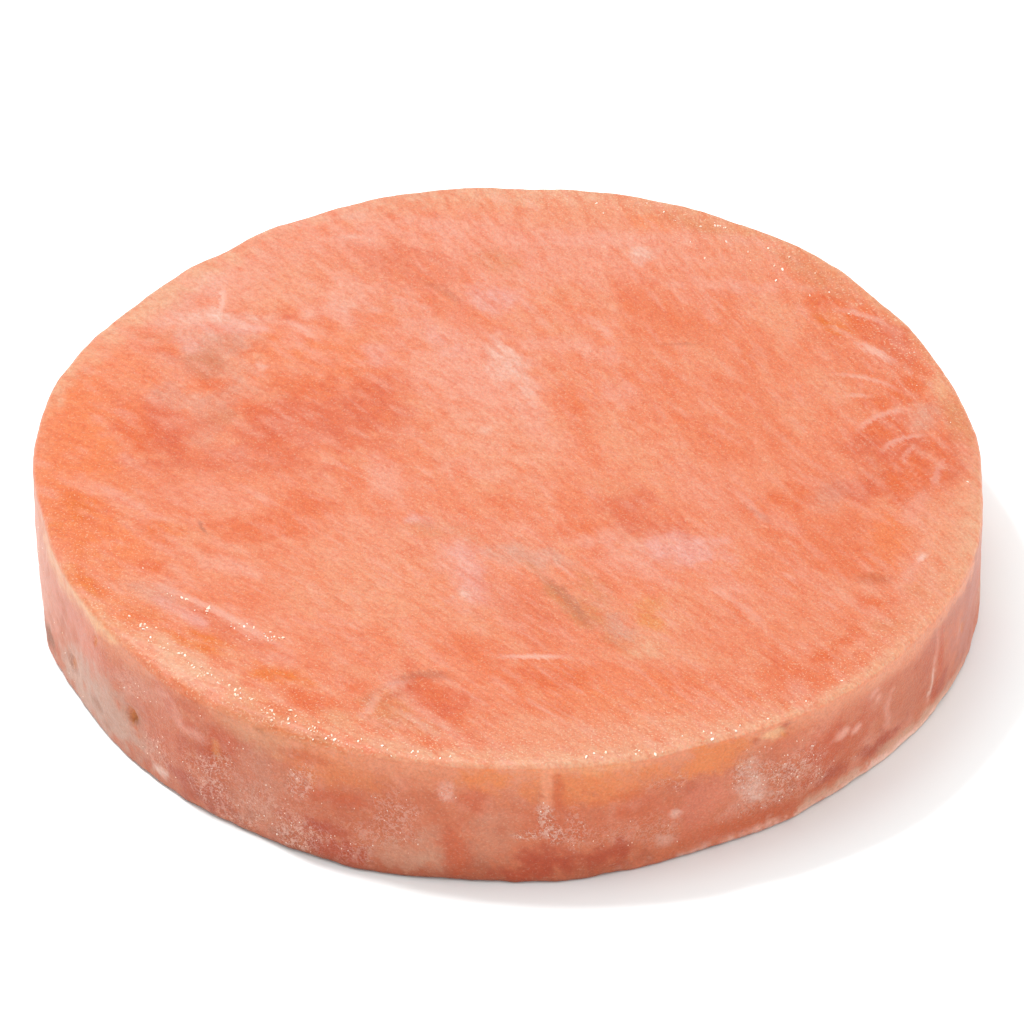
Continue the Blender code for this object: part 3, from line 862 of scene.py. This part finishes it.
def together(values):
    # several overlapping strengths as one, which never passes 1
    left = 1.0
    for value in values:
        left = left * (1.0 - np.clip(value, 0.0, 1.0))
    return 1.0 - left


# where ice crystals sit on the top: (azimuth, half span, mm in from the edge, half width, strength)
sparkleArcs = (
    (222, 11, 2.9, 0.5, 1), (238, 9, 2.2, 0.5, 0.8), (247, 6, 1.3, 0.5, 1), (258, 6, 0.9, 0.5, 0.6),
    (292, 10, 1, 0.6, 0.4), (63, 16, 3, 1.6, 0.08), (45, 14, 4.5, 2, 0.05), (20, 14, 2.5, 1.6, 0.04),
)
sparkleLines = ((-31, -25, 9, 0.6, -42, 0.45), (-24, -30, 5, 0.5, -40, 0.5), (22, 42, 6, 1.6, -25, 0.08))

# thin marks on the top: ends, bow to the left of the way, half width and strength
paleMarks = (
    (35.8, 4.6, 41.6, 9, 0.9, 0.4, 0.5), (34.8, 11.1, 38, 10.9, 0.2, 0.3, 0.4),
    (36.2, 21.2, 40.6, 16.6, 0.2, 0.55, 0.7), (33.2, 14.8, 41.4, 11.2, 1.2, 0.34, 0.45),
    (34.6, 26.8, 40.4, 23.4, 0.5, 0.4, 0.5), (43.6, -5, 45, 0.4, 0.3, 0.4, 0.4),
    (41.2, -17.4, 42.2, -15.8, 0, 0.3, 0.7), (-1.8, -32.6, 5.8, -32.7, 0, 0.34, 0.7),
    (-31.2, 31, -31.5, 25.2, 0.3, 0.34, 0.7), (-27.4, 17, -25.8, 15.9, 0, 0.4, 0.6),
    (-15.4, -42.6, -13.4, -37.8, -0.4, 0.5, 0.4), (-12.4, -40.2, -6.6, -46.6, 0.5, 0.5, 0.35),
    (19.4, -21, 25.6, -28.4, 0.5, 0.5, 0.35), (-37.2, -20.4, -22, -32.6, 0.8, 0.4, 0.45),
    (-24.4, 25, -20.4, 20.4, 0.2, 0.4, 0.4), (8, 25.2, 11, 20.4, 0.2, 0.5, 0.4),
)
crossedMarks = (
    (38.2, 1.2, 43.4, 4.4, 1, 0.4, 0.5), (33, 23.8, 36.4, 21.6, 0.3, 0.4, 0.35),
    (-13, -37.6, -9.6, -36.4, 0.3, 0.5, 0.3), (40.6, -0.6, 42.2, 2.8, 0.4, 0.3, 0.35),
    (-30.4, 23.8, -24.6, 22, 0.3, 0.5, 0.35), (22.2, -4.4, 26.4, -11.2, 0.3, 0.4, 0.3),
)
darkMarks = (
    (-32.2, -10.2, -31.2, -12.8, -0.15, 0.2, 0.75), (-10.2, 32.4, -5.4, 27.4, 0.3, 0.45, 0.35),
    (2.8, -19.4, 8, -28.4, 0.5, 0.55, 0.55), (-12.2, -36.8, -5.8, -36, 1.2, 0.6, 0.5),
    (-12.6, -37, -14.6, -40.4, -0.3, 0.4, 0.25), (15, 20.1, 20.4, 20.2, 0.1, 0.2, 0.35),
    (23.6, -7.6, 26.8, -11, 0.1, 0.3, 0.3),
)


def lineFields(x, y, marks):
    # for the nearest mark: the offset from its line in half widths, and how strong it is there
    offset = np.full(len(x), 9.0)
    strength = np.zeros(len(x))
    for startX, startY, endX, endY, bow, halfWidth, most in marks:
        length = math.hypot(endX - startX, endY - startY)
        wayX, wayY = (endX - startX) / length, (endY - startY) / length
        along = ((x - startX) * wayX + (y - startY) * wayY) / length
        across = -(x - startX) * wayY + (y - startY) * wayX
        across = across - bow * (1.0 - (2.0 * along - 1.0) ** 2)
        ends = 1.0 - smoothStep(np.abs(along - 0.5), 0.15, 0.60)
        near = 1.0 - smoothStep(np.abs(across), 0.7, 1.3)
        here = 0.75 * most * ends * near
        better = here > strength
        offset[better] = across[better] / halfWidth
        strength[better] = here[better]
    return offset, strength


def paintSkin(mesh, places, pit, outline):
    millimetres = places / mm
    facing = np.zeros(len(places) * 3)
    mesh.vertex_normals.foreach_get("vector", facing)
    facing = facing.reshape(-1, 3)
    centreX, centreY = paint["offCentre"]
    push = np.stack([noiseAt(millimetres, 4.0, offset, 2) for offset in (11.0, 23.0)], 1)
    flatX, flatY = millimetres[:, 0] - centreX, millimetres[:, 1] - centreY
    x = flatX + paint["push"] * push[:, 0]
    y = flatY + paint["push"] * push[:, 1]
    azimuth = np.degrees(np.arctan2(millimetres[:, 1], millimetres[:, 0])) % 360.0
    columns = np.arange(len(outline) + 1) * (360.0 / len(outline))
    edge = np.interp(azimuth, columns, np.append(outline, outline[0])) / mm
    inward = edge - np.hypot(millimetres[:, 0], millimetres[:, 1])
    up = np.clip(facing[:, 2], 0.0, 1.0)
    side = 1.0 - smoothStep(up, 0.15, 0.60) * smoothStep(millimetres[:, 2], *paint["topStarts"])
    sideAzimuth = azimuth + 0.6 * push[:, 0]
    seen = paintTop(millimetres, x, y, azimuth, inward) * (1.0 - side[:, None])
    seen = seen + paintSide(millimetres, sideAzimuth) * side[:, None]
    # from what is seen to the flesh's own colour, under the light that falls there
    sheen = paint["sideSheen"] + (paint["topSheen"] - paint["sideSheen"]) * up[:, None]
    # pits take the lighter hollow tint: painted light that lifts the shade which the real hollows throw
    seen = blend(seen, sideTints["hollow"], paint["pit"] * pit)
    colour = np.maximum(seen - sheen, 0.005) / lightOn(facing, millimetres[:, 2])[:, None]
    colour = np.append(colour, np.ones((len(colour), 1)), 1)
    layer = mesh.attributes.new("tint", "FLOAT_COLOR", "POINT")
    layer.data.foreach_set("color", colour.astype(np.float32).ravel())
    ragged = noiseAt(millimetres, 1.5, 1.4, 2)
    frost = [most * sideShare(sideAzimuth, millimetres[:, 2], ragged, *where)
             for *where, most in [*frostPatches, *hiddenPatches()[1]]]
    sparkle = []
    for centre, span, depth, width, strength in sparkleArcs:
        away = (turnedFrom(azimuth, centre) / span) ** 2 + ((inward - depth) / width) ** 2
        sparkle.append(strength * np.exp(-away))
    sparkle += [most * topShare(x, y, 0.0, *where) for *where, most in sparkleLines]
    across, start, full = paint["clusters"]
    clusters = smoothStep(noiseAt(millimetres, across, 3.3, 1), start, full)
    front, behind = [
        1.0 - smoothStep(np.abs(turnedFrom(azimuth, centre)), near, far)
        for centre, near, far in (paint["frontArc"], paint["backArc"])
    ]
    everywhere, atFront, atBack, reach = paint["fleck"]
    fleck = everywhere + (atFront * front + atBack * behind) * np.exp(-((inward / reach) ** 2))
    fields = {
        "side": side,
        "frost": together(frost) * side * smoothStep(millimetres[:, 2], 0.1, 0.5),
        "fleck": fleck * (1.0 - 0.7 * side),
        "sparkle": together(sparkle) * clusters * (1.0 - side),
    }
    for name, marks in (("paleMark", paleMarks), ("crossedMark", crossedMarks), ("darkMark", darkMarks)):
        offset, strength = lineFields(flatX, flatY, marks)
        fields[name + "Offset"] = offset
        fields[name + "Strength"] = strength * (1.0 - side)
    for name, values in fields.items():
        layer = mesh.attributes.new(name, "FLOAT", "POINT")
        layer.data.foreach_set("value", values.astype(np.float32))


fleshLook = {
    "white": (250, 200, 182),  # of the thin marks
    "dark": (170, 96, 70),
    "fleck": (253, 208, 172),
    "grain": 0.46,  # how much lighter and darker the finest grain is
    "sideGrain": 0.08,  # how much more of that the side has
    "frostGrain": 0.35,  # and the frost
    "fibre": 0.66,  # how far the fine fibres and the broader strands change the tint
    "strand": 0.26,
    "swing": (0.35, 1.2, 1.6),  # how much of that change its red, green and blue take
    "paleStreak": 0.14,
    "deepStreak": 0.18,
    "frost": 0.74,
    "bump": 0.10 * mm,
    "roughness": 0.29,  # where the grain is lowest
    "scatter": 0.20,
    "scatterReach": (1.0, 0.35, 0.20),
    "scatterScale": 1.4 * mm,
    "specular": 0.35,
    # noise along the fibres: how short it is, then its scale for each mm, detail and roughness
    "strandNoise": (0.50, 0.9, 2.0, 0.6),
    "fibreNoise": (0.50, 2.5, 1.5, 0.6),
    "streakNoise": (0.20, 1.4, 2.0),
    # even noise: scale for each mm, detail and roughness
    "grainNoise": (3.6, 2.0, 0.7),
    "regionNoise": (0.09, 1.0),
    "spotNoise": (1.5, 3.0, 0.75),
    "lineNoise": (2.1, 2.0),
    "fleckNoise": (4.4, 1.0),
    # the levels of that noise between which each comes in
    "regionLevels": (0.40, 0.60),
    "paleLevels": (0.55, 0.70),
    "deepLevels": (0.30, 0.45, 1.0, 0.0),
    "spotLevels": (0.52, 0.62),
    "lineLevels": (0.0, 0.045, 1.0, 0.0),
    "fleckLevels": (0.60, 0.70),
    "markEdge": (0.2, 1.7, 1.0, 0.0),  # where a thin mark fades, in its half widths
    "wobble": 3.0,  # how far the fibres shift that
}


def underLight(tint, facing):
    # the shader's colour that shows as this tint on a surface that faces this way
    level = float(lightOn(np.array((facing,)))[0])
    return (*(np.array(screenColour(*tint)) / level), 1.0)


def makeFleshMaterial():
    material, tree, shader = newMaterial("salmonFlesh")
    times = partial(calculate, tree, "MULTIPLY")
    plus = partial(calculate, tree, "ADD")
    minus = partial(calculate, tree, "SUBTRACT")
    timesPlus = partial(calculate, tree, "MULTIPLY_ADD")
    layer = partial(attribute, tree)
    dot = partial(vectorMath, tree, "DOT_PRODUCT", output=1)
    coordinates = addNode(tree, "ShaderNodeTexCoord").outputs["Object"]
    point = vectorMath(tree, "MULTIPLY", coordinates, (1.0 / mm,) * 3)
    # along and across the fibres, as the paint has them
    height = addNode(tree, "ShaderNodeSeparateXYZ", {0: point}).outputs["Z"]
    along = dot(point, (fibreWay["y"], -fibreWay["x"], 0.0))
    across = dot(point, (fibreWay["x"], fibreWay["y"], 0.0))
    bend = dot(vectorMath(tree, "MULTIPLY", point, point), (fibreWay["bendX"], fibreWay["bendY"], 0.0))
    bent = plus(across, bend)

    def drawnOut(name):
        short, *rest = fleshLook[name]
        place = addNode(tree, "ShaderNodeCombineXYZ", enumerate((times(along, short), bent, height)))
        return noiseTexture(tree, place.outputs[0], *rest)

    def even(name):
        return noiseTexture(tree, point, *fleshLook[name])

    def levels(name, value):
        return remap(tree, value, *fleshLook[name + "Levels"])

    # fibres shift the tint between deeper and paler, the grain only lightens and darkens
    fibre, grain = drawnOut("fibreNoise"), even("grainNoise")
    side, frosted = layer("side"), layer("frost")
    swing = times(minus(fibre, 0.5), fleshLook["fibre"])
    swing = timesPlus(minus(drawnOut("strandNoise"), 0.5), fleshLook["strand"], swing)
    swing = times(swing, timesPlus(side, -0.5, 1.0))
    share = timesPlus(side, fleshLook["sideGrain"], fleshLook["grain"])
    share = timesPlus(frosted, fleshLook["frostGrain"], share)
    lift = plus(times(minus(grain, 0.5), share), 1.0)
    change = addNode(tree, "ShaderNodeCombineXYZ",
                     enumerate([timesPlus(swing, part, lift) for part in fleshLook["swing"]]))
    colour = vectorMath(tree, "MULTIPLY", layer("tint", "Color"), change.outputs[0])

    # long pale and deep streaks, in some regions only
    streak = drawnOut("streakNoise")
    region = times(levels("region", even("regionNoise")), minus(1.0, side))
    paleStreak = times(levels("pale", streak), region)
    deepStreak = times(levels("deep", streak), region)

    # thin marks of pale tissue, and a few dark ones
    wobble = timesPlus(fibre, fleshLook["wobble"], -fleshLook["wobble"] / 2.0)

    def markOf(name):
        offset = calculate(tree, "ABSOLUTE", plus(layer(name + "Offset"), wobble))
        return times(remap(tree, offset, *fleshLook["markEdge"]), layer(name + "Strength"))

    # frost: a thin film, broken into spots and fine lines
    spots = levels("spot", even("spotNoise"))
    lines = calculate(tree, "ABSOLUTE", minus(even("lineNoise"), 0.5))
    film = calculate(tree, "MAXIMUM", times(spots, 0.8), levels("line", lines))
    frost = times(film, frosted)

    up, front = (0.0, 0.0, 1.0), (0.0, -1.0, 0.0)
    white = underLight(fleshLook["white"], up)
    for share, tint in (
        (times(paleStreak, fleshLook["paleStreak"]), white),
        (times(deepStreak, fleshLook["deepStreak"]), underLight(topTints["red"], up)),
        (calculate(tree, "MAXIMUM", markOf("paleMark"), markOf("crossedMark")), white),
        (markOf("darkMark"), underLight(fleshLook["dark"], up)),
        (times(frost, fleshLook["frost"]), underLight(sideTints["white"], front)),
        (times(levels("fleck", even("fleckNoise")), layer("fleck")), underLight(fleshLook["fleck"], up)),
    ):
        colour = mixColour(tree, share, colour, tint)

    rise = timesPlus(frost, 0.6, plus(times(fibre, 0.7), grain))
    bump = {"Strength": 0.7, "Distance": fleshLook["bump"], "Height": rise}
    rough = timesPlus(grain, 0.3, fleshLook["roughness"])
    feed(tree, shader, {
        "Base Color": colour,
        "Normal": addNode(tree, "ShaderNodeBump", bump).outputs["Normal"],
        "Roughness": plus(rough, times(frost, 0.25), clamp=True),
        "Subsurface Weight": fleshLook["scatter"],
        "Subsurface Radius": fleshLook["scatterReach"],
        "Subsurface Scale": fleshLook["scatterScale"],
        "Specular IOR Level": fleshLook["specular"],
    })
    return material


def keepInside(mesh):
    # nothing stands out of the solid's box
    places = np.zeros(len(mesh.vertices) * 3)
    mesh.vertices.foreach_get("co", places)
    places = np.clip(places.reshape(-1, 3), np.array(pattyLow), np.array(pattyHigh))
    mesh.vertices.foreach_set("co", places.ravel())


def makeFlesh():
    rows, outline = laySkin()
    rows = takeOutFacets(rows)
    places = np.concatenate([row[0] for row in rows])
    pit = np.concatenate([row[3] for row in rows])
    mesh = bpy.data.meshes.new("pattyFlesh")
    mesh.from_pydata(places.tolist(), [], stitch(rows))
    paintSkin(mesh, places, pit, outline)
    places = np.concatenate([row[0] for row in addRelief(rows)])
    mesh.vertices.foreach_set("co", places.astype(np.float32).ravel())
    keepInside(mesh)
    mesh.validate()
    mesh.shade_smooth()
    made = addObject("pattyFlesh", mesh)
    mesh.materials.append(makeFleshMaterial())
    mesh.calc_loop_triangles()
    print("flesh laid,", len(mesh.loop_triangles), "triangles")
    return made


flesh = makeFlesh()
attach(flesh, "root")
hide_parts("patty")


# ice crystals, scattered over the flesh by Geometry Nodes

# the two pieces' values, under the names of the tree's inputs: crystals for each square mm, sizes in mm
iceRim = {"Mask": "sparkle", "Density": 6.0, "Smallest": 0.06, "Largest": 0.18, "Seed": 4}
iceSide = {"Mask": "frost", "Density": 1.2, "Smallest": 0.03, "Largest": 0.08, "Seed": 9}
iceLook = {
    # near-white, bright enough to clip: partly the ice's own colour, partly painted glints
    "warm": (254, 222, 196),
    "cold": (255, 247, 236),
    "scale": 900.0,  # of the noise between the two, for each metre
    "roughness": 0.15,
    "stretch": (1.5, 0.9, 0.6),  # of a crystal, in its own three directions
}


def makeIceMaterial():
    material, tree, shader = newMaterial("iceCrystal")
    coordinates = addNode(tree, "ShaderNodeTexCoord").outputs["Object"]
    share = remap(tree, noiseTexture(tree, coordinates, iceLook["scale"]), 0.35, 0.65)
    warm, cold = [(*screenColour(*iceLook[name]), 1.0) for name in ("warm", "cold")]
    tone = mixColour(tree, share, warm, cold)
    feed(tree, shader, {"Base Color": tone, "Roughness": iceLook["roughness"]})
    return material


def makeIceTree(material):
    # crystals on the faces, thicker where the mask is strong
    tree = bpy.data.node_groups.new("iceScatter", "GeometryNodeTree")
    for name, kind in (
        ("Geometry", "Geometry"),
        ("Mask", "String"),
        ("Density", "Float"),
        ("Smallest", "Float"),
        ("Largest", "Float"),
        ("Seed", "Int"),
    ):
        tree.interface.new_socket(name=name, in_out="INPUT", socket_type="NodeSocket" + kind)
    tree.interface.new_socket(name="Geometry", in_out="OUTPUT", socket_type="NodeSocketGeometry")
    given = addNode(tree, "NodeGroupInput").outputs
    seed = given["Seed"]
    mask = addNode(tree, "GeometryNodeInputNamedAttribute", {"Name": given["Mask"]}, data_type="FLOAT")
    perArea = calculate(tree, "MULTIPLY", given["Density"], 1.0 / mm ** 2)
    density = calculate(tree, "MULTIPLY", perArea, mask.outputs["Attribute"])
    scattered = {"Mesh": given["Geometry"], "Density": density, "Seed": seed}
    points = addNode(tree, "GeometryNodeDistributePointsOnFaces", scattered).outputs["Points"]
    crystal = addNode(tree, "GeometryNodeMeshIcoSphere", {"Radius": mm, "Subdivisions": 1})
    sizes = {2: given["Smallest"], 3: given["Largest"], "Seed": seed}
    size = addNode(tree, "FunctionNodeRandomValue", sizes, data_type="FLOAT").outputs[1]
    turns = {0: (0.0, 0.0, 0.0), 1: (6.28, 6.28, 6.28), "Seed": seed}
    turn = addNode(tree, "FunctionNodeRandomValue", turns, data_type="FLOAT_VECTOR").outputs[0]
    stretched = [calculate(tree, "MULTIPLY", size, factor) for factor in iceLook["stretch"]]
    placed = {
        "Points": points,
        "Instance": crystal.outputs["Mesh"],
        "Rotation": turn,
        "Scale": addNode(tree, "ShaderNodeCombineXYZ", enumerate(stretched)).outputs[0],
    }
    crystals = addNode(tree, "GeometryNodeInstanceOnPoints", placed).outputs["Instances"]
    real = addNode(tree, "GeometryNodeRealizeInstances", {"Geometry": crystals}).outputs["Geometry"]
    painted = addNode(tree, "GeometryNodeSetMaterial", {"Geometry": real, "Material": material})
    addNode(tree, "NodeGroupOutput", {"Geometry": painted.outputs["Geometry"]})
    return tree


def growIce(name, settings, tree):
    carrier = addObject(name + "Carrier", flesh.data.copy())
    modifier = carrier.modifiers.new("ice", "NODES")
    modifier.node_group = tree
    for socket in tree.interface.items_tree:
        if socket.in_out == "INPUT" and socket.name in settings:
            modifier[socket.identifier] = settings[socket.name]
    bpy.context.view_layer.update()
    graph = bpy.context.evaluated_depsgraph_get()
    mesh = bpy.data.meshes.new_from_object(carrier.evaluated_get(graph))
    mesh.name = name
    keepInside(mesh)
    ice = addObject(name, mesh)
    bpy.data.objects.remove(carrier, do_unlink=True)
    print(name, len(mesh.polygons) // 20, "crystals")
    return ice


iceTree = makeIceTree(makeIceMaterial())
for iceName, iceSettings in (("rimIce", iceRim), ("sideIce", iceSide)):
    ice = growIce(iceName, iceSettings, iceTree)
    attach(ice, "root")
